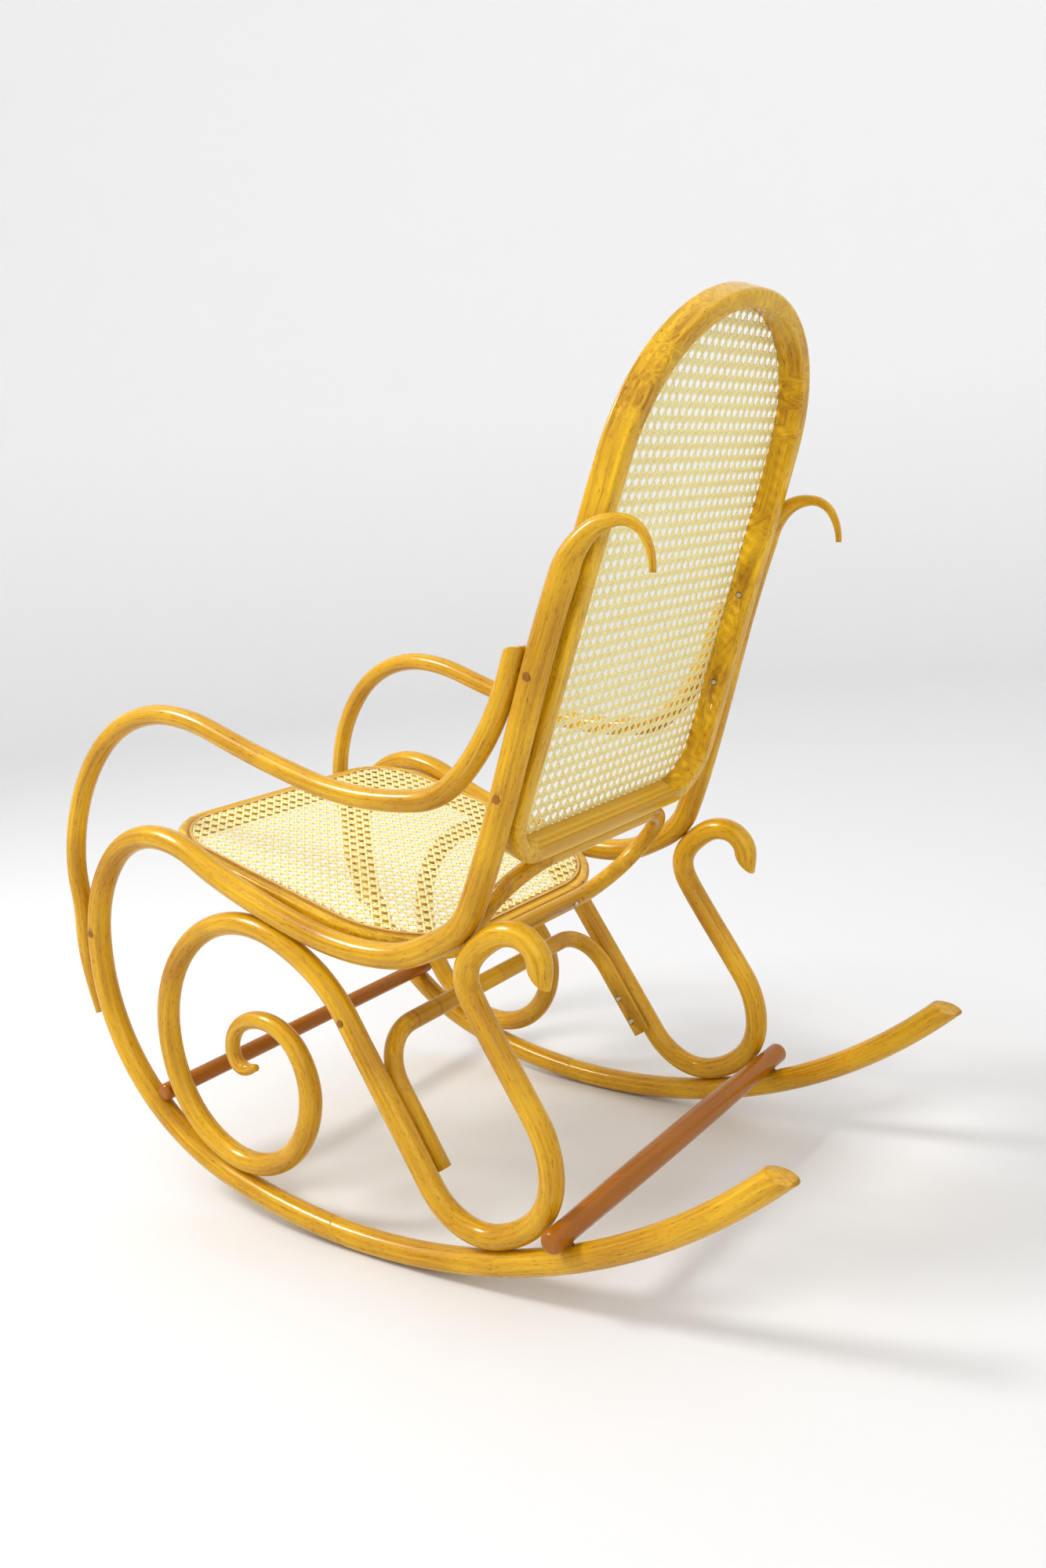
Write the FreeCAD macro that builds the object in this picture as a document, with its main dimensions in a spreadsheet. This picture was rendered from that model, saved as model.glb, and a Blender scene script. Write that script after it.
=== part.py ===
import FreeCAD, Part
import Sketcher
import math
import os

# Bentwood rocking chair: two side frames of bent rods, a caned seat ring and a caned back hoop.
# It faces -Y, +X is the sitter's left and the runners touch the floor at Z = 0.

Vector = FreeCAD.Vector
Rotation = FreeCAD.Rotation
Placement = FreeCAD.Placement

os.makedirs("parts", exist_ok=True)
doc = FreeCAD.newDocument("rocking_chair")

# Driving sizes in millimetres and degrees
sizes = {
    "frame_rod": 32.0,
    "scroll_rod": 30.0,
    "scroll_tip": 9.0,
    "scroll_thin": 19.5,
    "scroll_middle": 24.0,
    "arm_rod": 26.5,
    "arm_tail": 18.0,
    "arm_end_round": 22.0,
    "arm_tail_round": 14.0,
    "ear_top": 12.5,
    "ear_tip": 7.0,
    "front_stretcher_rod": 24.5,
    "rear_stretcher_rod": 32.0,
    "rear_stretcher_neck": 28.0,
    "under_brace_rod": 24.5,
    "loop_rod": 23.0,
    "half_track": 271.3,
    "frame_lean": 2.4,
    "frame_toe": 1.55,
    "frame_set_back": -34.16,
    "rest_tilt": 6.39,
    "rocker_radius": 830.0,
    "rocker_low_place": -86.0,
    "runner_end_angle": 48.8,
    "runner_bevel_angle": 47.8,
    "runner_bevel_slope": 34.0,
    "rail_rise_angle": -11.4,
    "leg_bearing_angle": 20.0,
    "curl_bevel_reach": 40.0,
    "rear_stretcher_angle": 27.35,
    "scarf_angle": 2.5,
    "scarf_lap": 3.75,
    "scarf_slope": 45.0,
    "contact_gap": 0.3,
    "hoop_gap": 0.6,
    "arm_gap": 0.7,
    "seat_front_reach": 290.0,
    "seat_rear_reach": 186.0,
    "seat_ring_depth": 30.0,
    "seat_ring_width": 24.0,
    "seat_drop": 4.0,
    "seat_front_corner": 95.0,
    "seat_rear_corner": 150.0,
    "seat_spline_inset": 15.0,
    "seat_cane_sink": 0.0,
    "seat_rounding": 6.0,
    "back_lean": 16.0,
    "back_ring_depth": 34.0,
    "back_ring_width": 21.0,
    "back_front_depth": 13.0,
    "back_above": 412.0,
    "back_below": 239.0,
    "back_bottom_corner": 71.0,
    "back_shoulder": 235.0,
    "back_shoulder_draw": 12.5,
    "back_shoulder_turn": 2.0,
    "back_spline_inset": 8.0,
    "back_cane_sink": 3.0,
    "back_rounding": 5.0,
    "spline_width": 4.0,
    "spline_height": 4.5,
    "spline_crown": 1.3,
    "spline_play": 0.1,
    "cane_thickness": 1.6,
    "loop_half_length": 188.0,
    "loop_low_flat": 84.6,
    "loop_high_flat": 103.4,
    "loop_side_share": 0.55,
    "loop_drop": 5.5,
    "under_brace_foot": 8.0,
    "under_brace_rise": 176.0,
    "under_brace_corner": 66.0,
    "front_stretcher_overhang": 9.5,
    "rear_stretcher_overhang": 33.5,
    "tip_rounding": 0.5,
    "back_screw_high": 46.0,
    "back_screw_low": -76.0,
    "loop_screw_place": 70.0,
    "brace_screw_low": 22.0,
    "brace_screw_high": 60.0,
    "screw_shank": 4.2,
    "screw_head": 9.0,
    "screw_crown": 6.0,
    "screw_head_height": 2.4,
    "screw_head_sink": 1.4,
    "screw_length": 33.0,
    "dowel": 8.0,
    "dowel_length": 24.0,
    "plug": 9.0,
    "plug_length": 8.0,
    "plug_proud": 0.2,
    "fixing_play": 0.1,
}

sheet = doc.addObject("Spreadsheet::Sheet", "sizes")
for row, (name, value) in enumerate(sizes.items(), start=1):
    sheet.set("A%d" % row, name)
    sheet.set("B%d" % row, str(value))
    sheet.setAlias("B%d" % row, name)
doc.recompute()


def size(name):
    return float(getattr(sheet, name))


# Routes are lists of (across, up, heading); two tangent arcs join each point to the next
def direction(heading):
    return Vector(math.cos(math.radians(heading)), math.sin(math.radians(heading)), 0)


def leftOf(heading):
    return direction(heading + 90)


def shifted(node, distance):
    point = Vector(node[0], node[1], 0) + leftOf(node[2]) * distance
    return (point.x, point.y, node[2])


def chordHeading(start, end, near):
    heading = math.degrees(math.atan2(end.y - start.y, end.x - start.x))
    return heading + 360 * round((near - heading) / 360)


def arcChain(route):
    chain = [route[0]]
    for before, after in zip(route[:-1], route[1:]):
        start = Vector(before[0], before[1], 0)
        end = Vector(after[0], after[1], 0)
        span = end - start
        headings = direction(before[2]) + direction(after[2])
        spread = 2 * (1 - direction(before[2]).dot(direction(after[2])))
        along = span.dot(headings)
        if spread < 1e-9:
            reach = span.dot(span) / (2 * along)
        else:
            reach = (math.sqrt(along * along + spread * span.dot(span)) - along) / spread
        joint = (start + end + (direction(before[2]) - direction(after[2])) * reach) * 0.5
        middle = (before[2] + after[2]) / 2
        turned = 2 * chordHeading(start, joint, middle) - before[2]
        chain.append((joint.x, joint.y, turned))
        chain.append(after)
    return chain


def chainEdges(chain):
    edges = []
    for before, after in zip(chain[:-1], chain[1:]):
        start = Vector(before[0], before[1], 0)
        end = Vector(after[0], after[1], 0)
        chord = end - start
        if chord.Length < 1e-6:
            continue
        rise = math.tan(math.radians(after[2] - before[2]) / 4) / 2
        if abs(rise) < 1e-6:
            edges.append(Part.LineSegment(start, end))
        else:
            middle = (start + end) * 0.5 + Vector(chord.y, -chord.x, 0) * rise
            edges.append(Part.Arc(start, middle, end))
    return edges


def roundedCorner(corner, headingIn, headingOut, radius):
    reach = radius * math.tan(math.radians(headingOut - headingIn) / 2)
    point = Vector(corner[0], corner[1], 0)
    first = point - direction(headingIn) * reach
    second = point + direction(headingOut) * reach
    return [(first.x, first.y, headingIn), (second.x, second.y, headingOut)]


def mirrored(half):
    return half + [(-x, y, 360 - heading) for x, y, heading in reversed(half[:-1])]


def onPlane(body, role, name, edges):
    sketch = body.newObject("Sketcher::SketchObject", name)
    plane = [item for item in body.Origin.OriginFeatures if item.Role == role][0]
    sketch.AttachmentSupport = [(plane, "")]
    sketch.MapMode = "FlatFace"
    sketch.addGeometry(edges, False)
    return sketch


def rodSection(body, path, name, edge, place, expression):
    section = body.newObject("Sketcher::SketchObject", name)
    section.AttachmentSupport = [(path, "Edge%d" % edge)]
    section.MapMode = "NormalToEdge"
    section.MapPathParameter = place
    section.addGeometry(Part.Circle(Vector(), Vector(0, 0, 1), 5), False)
    section.addConstraint(Sketcher.Constraint("Coincident", 0, 3, -1, 1))
    section.addConstraint(Sketcher.Constraint("Diameter", 0, 10))
    section.setExpression("Constraints[1]", expression)
    return section


# One stretch of rod: even, or tapering from its first diameter to its last
def addStretch(body, name, chain, role, first, last):
    edges = chainEdges(chain)
    path = onPlane(body, role, name + "_path", edges)
    start = rodSection(body, path, name + "_start", 1, 0, "sizes." + first)
    pipe = body.newObject("PartDesign::AdditivePipe", name)
    pipe.Profile = start
    pipe.Spine = (path, [])
    if first != last:
        end = rodSection(body, path, name + "_end", len(edges), 1, "sizes." + last)
        pipe.Transformation = "Multisection"
        pipe.Sections = [(end, [""])]
    return pipe


def newBody(label, place):
    body = doc.addObject("PartDesign::Body", label)
    body.Label = label
    body.Placement = place
    return body


# Side frame: every rod lies in one plane, which leans in and toes in. The chair rests tilted back
# on the round of its runners, so the frame is turned about the centre of that round.
def framePlacement(side):
    radius = size("rocker_radius")
    tilt = Rotation(Vector(1, 0, 0), -size("rest_tilt"))
    turn = Rotation(Vector(0, 0, 1), side * size("frame_toe"))
    lean = Rotation(Vector(0, 1, 0), -side * size("frame_lean"))
    whole = tilt.multiply(turn).multiply(lean)
    slant = whole.multVec(Vector(1, 0, 0)).z
    centre = whole.multVec(Vector(0, size("rocker_low_place"), radius))
    lift = size("frame_rod") / 2 + radius * math.sqrt(1 - slant * slant) - centre.z
    return Placement(Vector(side * size("half_track"), size("frame_set_back"), lift), whole)


def onFrame(node, side=1):
    return framePlacement(side).multVec(Vector(0, node[0], node[1]))


def rockerNode(angle, heading=0):
    radius = size("rocker_radius")
    across = size("rocker_low_place") + radius * math.sin(math.radians(angle))
    return (across, radius * (1 - math.cos(math.radians(angle))), angle + heading)


def clearOf(first, second, gap="contact_gap"):
    return (size(first) + size(second)) / 2 + size(gap)


# Bends of the long rail: rocker front, front loop, seat, upright and ear
railRise = rockerNode(size("rail_rise_angle"), 180)
railFoot = (-389, 78.3, 143)
railShin = (-481, 196, 113)
railKnee = (-503, 306, 90)
railCrest = (-369, 465, 0)
railSeatFront = (-231, 423, -17)
railThigh = (-159, 403, -14.5)
railSeatRear = (-31, 384, 0)
railTurn = (74, 407, 30)
railHip = (127.6, 445.2, 48.4)
uprightFoot = (143, 471, 70)
uprightLow = (184, 606, 75)
uprightMiddle = (219, 742, 75.5)
uprightJoint = (225.3, 764.6, 74.6)
uprightTop = (253, 854, 71)
earCrown = (315, 905, 0)
earTip = (353, 856, -90)

rockerStart = rockerNode(size("scarf_angle") + size("scarf_lap"))
railStart = (rockerStart[0], rockerStart[1], rockerStart[2] + 180)
railRoute = [railStart, rockerNode(0, 180), railRise, railFoot, railShin, railKnee, railCrest, railSeatFront,
             railThigh, railSeatRear, railTurn, railHip, uprightFoot, uprightLow, uprightMiddle,
             uprightJoint, uprightTop]

# Bends of the scroll leg: volute, front loop, leg, lower loop and rear curl
scrollGap = clearOf("frame_rod", "scroll_rod")
voluteTip = (-199, 184, 200)
voluteTurn = (-221, 177, 180)
voluteSide = (-242, 203, 90)
voluteTop = (-181, 253, 0)
voluteBack = (-104, 164, -90)
scrollBottom = shifted((railRise[0], railRise[1], railRise[2] - 360), -scrollGap)
scrollFront = (-365, 211, -270)
scrollThigh = shifted((railThigh[0], railThigh[1], railThigh[2] - 360), -scrollGap)
legTop = (-41, 291, -414)
legFoot = (90, 113, -414)
runnerBearing = rockerNode(size("leg_bearing_angle"))
legBearing = shifted((runnerBearing[0], runnerBearing[1], runnerBearing[2] - 360), scrollGap)
legRear = (260, 171, -270)
legRise = (237, 242, -234)
curlNeck = (159, 346, -234)
curlFront = (137, 393, -270)
curlTouch = shifted((railHip[0], railHip[1], railHip[2] - 360), -scrollGap)
curlTop = (202, 454, -360)
curlSide = (236, 424, -448)
curlEnd = (234, 398, -456)
curlBevel = (235, 413, -135)

# Bends of the arm, from its tail on the rail's shin to its joint on the upright
armTail = shifted(railShin, clearOf("frame_rod", "arm_tail", "arm_gap"))
armKnee = shifted(railKnee, clearOf("frame_rod", "arm_rod", "arm_gap"))
armFront = (-545, 416, 86)
armCrest = (-341, 633, 0)
armDip = (-191, 602, -14)
armLow = (-11, 575, 2)
armRise = (121, 616, 48)
armTouch = shifted(uprightMiddle, clearOf("frame_rod", "arm_rod", "arm_gap"))
armEnd = shifted(uprightJoint, clearOf("frame_rod", "arm_rod", "arm_gap"))


# Cuts across a rod's end, seen from the side. A cutting outline reaches this many rods past it.
roomyRods = 3


def polygonEdges(corners):
    return [Part.LineSegment(a, b) for a, b in zip(corners, corners[1:] + corners[:1])]


def addSideCut(body, name, edges, depth):
    cut = body.newObject("PartDesign::Pocket", name)
    cut.Profile = onPlane(body, "YZ_Plane", name + "_outline", edges)
    cut.Midplane = True
    cut.Length = depth
    return cut


# A bevel takes away what lies ahead of a plane
def addBevel(body, name, node, heading, reach):
    corner = Vector(node[0], node[1], 0)
    ahead = direction(heading) * reach
    beside = leftOf(heading) * reach
    corners = [corner - beside, corner - beside + ahead, corner + beside + ahead, corner + beside]
    return addSideCut(body, name, polygonEdges(corners), roomyRods * reach)


# A rounding takes away the corner of a rod's end on one side of it: hand 1 is its left, -1 its right
def addRounding(body, name, node, rod, radius, hand):
    end = Vector(node[0], node[1], 0)
    ahead = direction(node[2])
    beside = leftOf(node[2]) * hand
    half = rod / 2
    start = end - ahead * radius + beside * half
    middle = end + (ahead + beside) * radius * math.sqrt(0.5) - ahead * radius + beside * (half - radius)
    stop = end + beside * (half - radius)
    far = stop + ahead * rod
    corners = [stop, far, far + beside * (radius + rod), start + beside * rod, start]
    edges = [Part.Arc(start, middle, stop)]
    edges += [Part.LineSegment(a, b) for a, b in zip(corners[:-1], corners[1:])]
    return addSideCut(body, name, edges, roomyRods * rod)


def sideName(side):
    return "left" if side > 0 else "right"


def bindFrame(body, side):
    body.setExpression("Placement.Base.x", "%d * sizes.half_track" % side)
    body.setExpression("Placement.Base.y", "sizes.frame_set_back")


subparts = []


def sideRail(side):
    body = newBody("side_rail_" + sideName(side), framePlacement(side))
    bindFrame(body, side)
    addStretch(body, "rail", arcChain(railRoute), "YZ_Plane", "frame_rod", "frame_rod")
    addStretch(body, "ear", arcChain([uprightTop, earCrown]), "YZ_Plane", "frame_rod", "ear_top")
    addStretch(body, "hook", arcChain([earCrown, earTip]), "YZ_Plane", "ear_top", "ear_tip")
    scarf = rockerNode(size("scarf_angle"))
    addBevel(body, "scarf", scarf, scarf[2] + size("scarf_slope"), roomyRods * size("frame_rod"))
    subparts.append(body)
    return body


def runner(side):
    body = newBody("runner_" + sideName(side), framePlacement(side))
    bindFrame(body, side)
    start = rockerNode(size("scarf_angle") - size("scarf_lap"))
    route = [start, rockerNode(size("runner_end_angle"))]
    addStretch(body, "rod", arcChain(route), "YZ_Plane", "frame_rod", "frame_rod")
    scarf = rockerNode(size("scarf_angle"))
    slope = scarf[2] + size("scarf_slope") + 180
    edge = Vector(scarf[0], scarf[1], 0) - direction(slope) * size("contact_gap")
    addBevel(body, "scarf", (edge.x, edge.y), slope, roomyRods * size("frame_rod"))
    tip = rockerNode(size("runner_bevel_angle"))
    addBevel(body, "tip_bevel", tip, tip[2] + size("runner_bevel_slope"), size("frame_rod"))
    subparts.append(body)
    return body


def scrollLeg(side):
    body = newBody("scroll_leg_" + sideName(side), framePlacement(side))
    bindFrame(body, side)
    addStretch(body, "volute_tip", arcChain([voluteTip, voluteTurn]), "YZ_Plane", "scroll_tip", "scroll_thin")
    addStretch(body, "volute_turn", arcChain([voluteTurn, voluteSide]), "YZ_Plane", "scroll_thin", "scroll_thin")
    addStretch(body, "volute_side", arcChain([voluteSide, voluteTop]), "YZ_Plane", "scroll_thin", "scroll_middle")
    addStretch(body, "volute_top", arcChain([voluteTop, voluteBack]), "YZ_Plane", "scroll_middle", "scroll_rod")
    route = [voluteBack, scrollBottom, scrollFront, scrollThigh, legTop, legFoot, legBearing, legRear,
             legRise, curlNeck, curlFront, curlTouch, curlTop, curlSide, curlEnd]
    addStretch(body, "leg", arcChain(route), "YZ_Plane", "scroll_rod", "scroll_rod")
    addBevel(body, "curl_bevel", curlBevel, curlBevel[2], size("curl_bevel_reach"))
    subparts.append(body)
    return body


def arm(side):
    body = newBody("arm_" + sideName(side), framePlacement(side))
    bindFrame(body, side)
    addStretch(body, "tail", arcChain([armTail, armKnee]), "YZ_Plane", "arm_tail", "arm_rod")
    route = [armKnee, armFront, armCrest, armDip, armLow, armRise, armTouch, armEnd]
    addStretch(body, "rod", arcChain(route), "YZ_Plane", "arm_rod", "arm_rod")
    addRounding(body, "end_rounding", armEnd, size("arm_rod"), size("arm_end_round"), 1)
    tail = (armTail[0], armTail[1], armTail[2] + 180)
    addRounding(body, "tail_rounding", tail, size("arm_tail"), size("arm_tail_round"), -1)
    subparts.append(body)
    return body


# Seat: its middle plane hangs just under the two rail bends that hold it between them
seatFrontPoint = onFrame(railSeatFront)
seatRearPoint = onFrame(railSeatRear)
seatSlope = math.degrees(math.atan2(seatRearPoint.z - seatFrontPoint.z, seatRearPoint.y - seatFrontPoint.y))
seatNormal = Rotation(Vector(1, 0, 0), seatSlope).multVec(Vector(0, 0, 1))
seatMiddle = (seatFrontPoint + seatRearPoint) * 0.5
seatOrigin = Vector(0, seatMiddle.y, seatMiddle.z) + seatNormal * (size("seat_ring_depth") / 2 - size("seat_drop"))
seatPlacement = Placement(seatOrigin, Rotation(Vector(1, 0, 0), seatSlope))


# The line along which a rod of the side frame bounds a flat piece, as half widths and a heading
def innerLine(place, lowNode, highNode, reach):
    low = place.inverse().multVec(onFrame(lowNode))
    high = place.inverse().multVec(onFrame(highNode))
    rise = (high.x - low.x) / (high.y - low.y)

    def halfWidth(along):
        return low.x + rise * (along - low.y) - reach

    return halfWidth, 90 - math.degrees(math.atan(rise))


railReach = size("frame_rod") / 2 + size("hoop_gap")
seatHalfWidth, seatSideHeading = innerLine(seatPlacement, railSeatFront, railSeatRear, railReach)


def seatOutline():
    front = -size("seat_front_reach")
    rear = size("seat_rear_reach")
    half = [(0, front, 0)]
    half += roundedCorner((seatHalfWidth(front), front), 0, seatSideHeading, size("seat_front_corner"))
    half += roundedCorner((seatHalfWidth(rear), rear), seatSideHeading, 180, size("seat_rear_corner"))
    half.append((0, rear, 180))
    return mirrored(half)


# Back: a hoop between the uprights that leans back a little more than they do
backOrigin = Vector(0, onFrame(uprightMiddle).y, onFrame(uprightMiddle).z)
backSlope = 90 - size("back_lean") - size("rest_tilt")
backPlacement = Placement(backOrigin, Rotation(Vector(1, 0, 0), backSlope))
backHalfWidth, backSideHeading = innerLine(backPlacement, uprightLow, uprightMiddle, railReach)


def backOutline():
    bottom = -size("back_below")
    half = [(0, bottom, 0)]
    half += roundedCorner((backHalfWidth(bottom), bottom), 0, backSideHeading, size("back_bottom_corner"))
    crown = [(backHalfWidth(0), 0, backSideHeading)]
    crown.append((backHalfWidth(0) - size("back_shoulder_draw"), size("back_shoulder"),
                  backSideHeading + size("back_shoulder_turn")))
    crown.append((0, size("back_above"), 180))
    return mirrored(half + arcChain(crown))


def inset(outline, distance):
    return [shifted(node, distance) for node in outline]


def flatSketch(body, name, outlines, height):
    edges = [edge for outline in outlines for edge in chainEdges(outline)]
    sketch = onPlane(body, "XY_Plane", name + "_outline", edges)
    sketch.AttachmentOffset = Placement(Vector(0, 0, height), Rotation())
    return sketch


def addSlab(body, name, outlines, height, depth):
    pad = body.newObject("PartDesign::Pad", name)
    pad.Profile = flatSketch(body, name, outlines, height)
    pad.Reversed = True
    pad.setExpression("Length", depth)
    return pad


def addRecess(body, name, outlines, height, depth):
    recess = body.newObject("PartDesign::Pocket", name)
    recess.Profile = flatSketch(body, name, outlines, height)
    recess.setExpression("Length", depth)
    return recess


touching = 0.01


def edgesOn(shape, outline, height):
    wire = Part.Wire([edge.toShape() for edge in chainEdges(outline)])
    wire.translate(Vector(0, 0, height))
    names = []
    for index, edge in enumerate(shape.Edges, start=1):
        middle = edge.valueAt((edge.FirstParameter + edge.LastParameter) / 2)
        if wire.distToShape(Part.Vertex(middle))[0] < touching:
            names.append("Edge%d" % index)
    return names


# Ring, spline and cane panel of a caned hoop, whose caned face is at the height given
def canedHoop(name, place, outline, face):
    play = size("spline_play")
    splineOuter = size(name + "_spline_inset")
    splineInner = splineOuter + size("spline_width")
    inner = size(name + "_ring_width")
    caneFace = face - size(name + "_cane_sink")

    ring = newBody(name + "_ring", place)
    slab = addSlab(ring, "ring", [outline, inset(outline, inner)], face, "sizes.%s_ring_depth" % name)
    doc.recompute()
    rounding = ring.newObject("PartDesign::Fillet", "rounding")
    low = face - size(name + "_ring_depth")
    names = edgesOn(slab.Shape, outline, face) + edgesOn(slab.Shape, outline, low)
    rounding.Base = (slab, names + edgesOn(slab.Shape, inset(outline, inner), low))
    rounding.setExpression("Radius", "sizes.%s_rounding" % name)
    if caneFace < face:
        rebate = [inset(outline, splineOuter), inset(outline, inner)]
        addRecess(ring, "rebate", rebate, face, "sizes.%s_cane_sink" % name)
    groove = [inset(outline, splineOuter), inset(outline, splineInner)]
    addRecess(ring, "groove", groove, caneFace, "sizes.spline_height")

    spline = newBody(name + "_spline", place)
    strip = [inset(outline, splineOuter + play), inset(outline, splineInner - play)]
    addSlab(spline, "spline", strip, caneFace + size("spline_crown"),
            "sizes.spline_height + sizes.spline_crown - sizes.spline_play")

    cane = newBody(name + "_cane", place)
    panel = [inset(outline, splineInner + play)]
    addSlab(cane, "cane", panel, caneFace + play + size("cane_thickness"), "sizes.cane_thickness")
    subparts.extend([ring, spline, cane])
    return ring


# Oval loop between the rear of the seat ring and the bottom of the back hoop
loopReach = size("loop_rod") / 2 + size("contact_gap")
loopLow = seatPlacement.multVec(Vector(0, size("seat_rear_reach") + loopReach, -size("loop_drop")))
backMiddleDepth = size("back_front_depth") - size("back_ring_depth") / 2
loopHigh = backPlacement.multVec(Vector(0, -size("back_below") - loopReach, backMiddleDepth))
loopHeight = loopHigh.distanceToPoint(loopLow)
loopSlope = math.degrees(math.atan2(loopHigh.z - loopLow.z, loopHigh.y - loopLow.y))
loopPlacement = Placement(loopLow, Rotation(Vector(1, 0, 0), loopSlope))


def braceLoop():
    body = newBody("brace_loop", loopPlacement)
    reach = size("loop_half_length")
    half = [(0, 0, 0), (size("loop_low_flat"), 0, 0), (reach, loopHeight * size("loop_side_share"), 90)]
    half.append((size("loop_high_flat"), loopHeight, 180))
    half.append((0, loopHeight, 180))
    addStretch(body, "loop", mirrored(arcChain(half)), "XY_Plane", "loop_rod", "loop_rod")
    subparts.append(body)
    return body


# Arch under the seat, whose legs lie along the inner sides of the two front legs
legHeading = legFoot[2] + 540
legAim = direction(legHeading)
archLow = (legFoot[0] + legAim.x * size("under_brace_foot"), legFoot[1] + legAim.y * size("under_brace_foot"))
archHigh = (archLow[0] + legAim.x * size("under_brace_rise"), archLow[1] + legAim.y * size("under_brace_rise"))
archLowPoint = onFrame(archLow)
archHighPoint = onFrame(archHigh)
archSlope = math.degrees(math.atan2(archHighPoint.z - archLowPoint.z, archHighPoint.y - archLowPoint.y))
archPlacement = Placement(Vector(0, archLowPoint.y, archLowPoint.z), Rotation(Vector(1, 0, 0), archSlope))
archReach = clearOf("scroll_rod", "under_brace_rod")
archHalfWidth, archSideHeading = innerLine(archPlacement, archLow, archHigh, archReach)


def underBrace():
    body = newBody("under_seat_brace", archPlacement)
    rise = archPlacement.inverse().multVec(archHighPoint).y
    half = [(archHalfWidth(0), 0, archSideHeading)]
    half += roundedCorner((archHalfWidth(rise), rise), archSideHeading, 180, size("under_brace_corner"))
    half.append((0, rise, 180))
    chain = half + [(-x, y, 360 - heading) for x, y, heading in reversed(half[:-1])]
    addStretch(body, "arch", chain, "XY_Plane", "under_brace_rod", "under_brace_rod")
    subparts.append(body)
    return body


# Straight turned bars across the frames: a fuller middle, even ends three radii long and rounded tips
endRadii = 3


def stretcher(name, node, rod, neck, overhang):
    point = onFrame(node)
    end = point.x + size(overhang)
    middle = size(rod) / 2
    thin = size(neck) / 2
    round = thin * size("tip_rounding")
    body = newBody(name, Placement(Vector(0, point.y, point.z), Rotation()))
    belly = end - endRadii * middle
    bend = round * (1 - math.sqrt(0.5))
    profile = [Part.LineSegment(Vector(-end, 0, 0), Vector(-end, thin - round, 0)),
               Part.Arc(Vector(-end, thin - round, 0), Vector(bend - end, thin - bend, 0), Vector(round - end, thin, 0)),
               Part.LineSegment(Vector(round - end, thin, 0), Vector(-belly, thin, 0)),
               Part.LineSegment(Vector(belly, thin, 0), Vector(end - round, thin, 0)),
               Part.Arc(Vector(end - round, thin, 0), Vector(end - bend, thin - bend, 0), Vector(end, thin - round, 0)),
               Part.LineSegment(Vector(end, thin - round, 0), Vector(end, 0, 0)),
               Part.LineSegment(Vector(end, 0, 0), Vector(-end, 0, 0))]
    if middle > thin:
        profile.insert(3, Part.Arc(Vector(-belly, thin, 0), Vector(0, middle, 0), Vector(belly, thin, 0)))
    else:
        profile.insert(3, Part.LineSegment(Vector(-belly, thin, 0), Vector(belly, thin, 0)))
    bar = body.newObject("PartDesign::Revolution", "bar")
    bar.Profile = onPlane(body, "XY_Plane", "bar_outline", profile)
    bar.ReferenceAxis = (bar.Profile[0], ["H_Axis"])
    bar.Angle = 360
    subparts.append(body)
    return body


# Fixings: each is a round pin along an aim, in holes drilled through the pieces that it joins
def alongAim(place, aim, start):
    return Placement(place + aim * start, Rotation(Vector(0, 0, 1), aim))


def drill(labels, place, aim, start, diameter, depth):
    for label in labels:
        body = bodies[label]
        hole = body.newObject("PartDesign::SubtractiveCylinder", "hole")
        hole.Placement = body.Placement.inverse().multiply(alongAim(place, aim, start))
        hole.Height = depth
        hole.setExpression("Radius", "sizes.%s / 2 + sizes.fixing_play" % diameter)


def pin(diameter, place, aim, start, height):
    cylinder = doc.addObject("Part::Cylinder", "pin")
    cylinder.setExpression("Radius", "sizes.%s / 2" % diameter)
    cylinder.setExpression("Height", height)
    cylinder.Placement = alongAim(place, aim, start)
    return cylinder


def screw(place, aim, labels):
    sink = size("screw_head_sink")
    head = doc.addObject("Part::Cone", "head")
    head.setExpression("Radius1", "sizes.screw_crown / 2")
    head.setExpression("Radius2", "sizes.screw_head / 2")
    head.setExpression("Height", "sizes.screw_head_height")
    head.Placement = alongAim(place, aim, sink - size("screw_head_height"))
    shank = pin("screw_shank", place, aim, sink, "sizes.screw_length")
    drill(labels, place, aim, sink, "screw_shank", size("screw_length") + size("fixing_play"))
    drill(labels[:1], place, aim, -size("screw_head"), "screw_head", size("screw_head") + sink)
    whole = doc.addObject("Part::Fuse", "screw")
    whole.Base = head
    whole.Tool = shank
    return [whole]


def dowel(place, aim, labels):
    start = -size("dowel_length") / 2
    play = size("fixing_play")
    drill(labels, place, aim, start - play, "dowel", size("dowel_length") + 2 * play)
    return [pin("dowel", place, aim, start, "sizes.dowel_length")]


def plug(place, aim, labels):
    start = -size("plug_proud")
    drill(labels, place, aim, -size("plug"), "plug", size("plug") + size("plug_length") + start)
    return [pin("plug", place, aim, start, "sizes.plug_length")]


def fixingNode(label, solids):
    node = doc.addObject("Part::MultiFuse", label)
    node.Label = label
    node.Shapes = solids
    subparts.append(node)


frontStretcherNode = shifted(railFoot, -clearOf("frame_rod", "front_stretcher_rod"))
rearStretcherNode = shifted(rockerNode(size("rear_stretcher_angle")), clearOf("frame_rod", "rear_stretcher_rod"))

for side in (1, -1):
    sideRail(side)
    runner(side)
    scrollLeg(side)
    arm(side)
canedHoop("seat", seatPlacement, seatOutline(), 0)
canedHoop("back", backPlacement, backOutline(), size("back_front_depth"))
braceLoop()
underBrace()
stretcher("front_stretcher", frontStretcherNode, "front_stretcher_rod", "front_stretcher_rod",
          "front_stretcher_overhang")
stretcher("rear_stretcher", rearStretcherNode, "rear_stretcher_rod", "rear_stretcher_neck",
          "rear_stretcher_overhang")
bodies = {body.Label: body for body in subparts}


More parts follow.
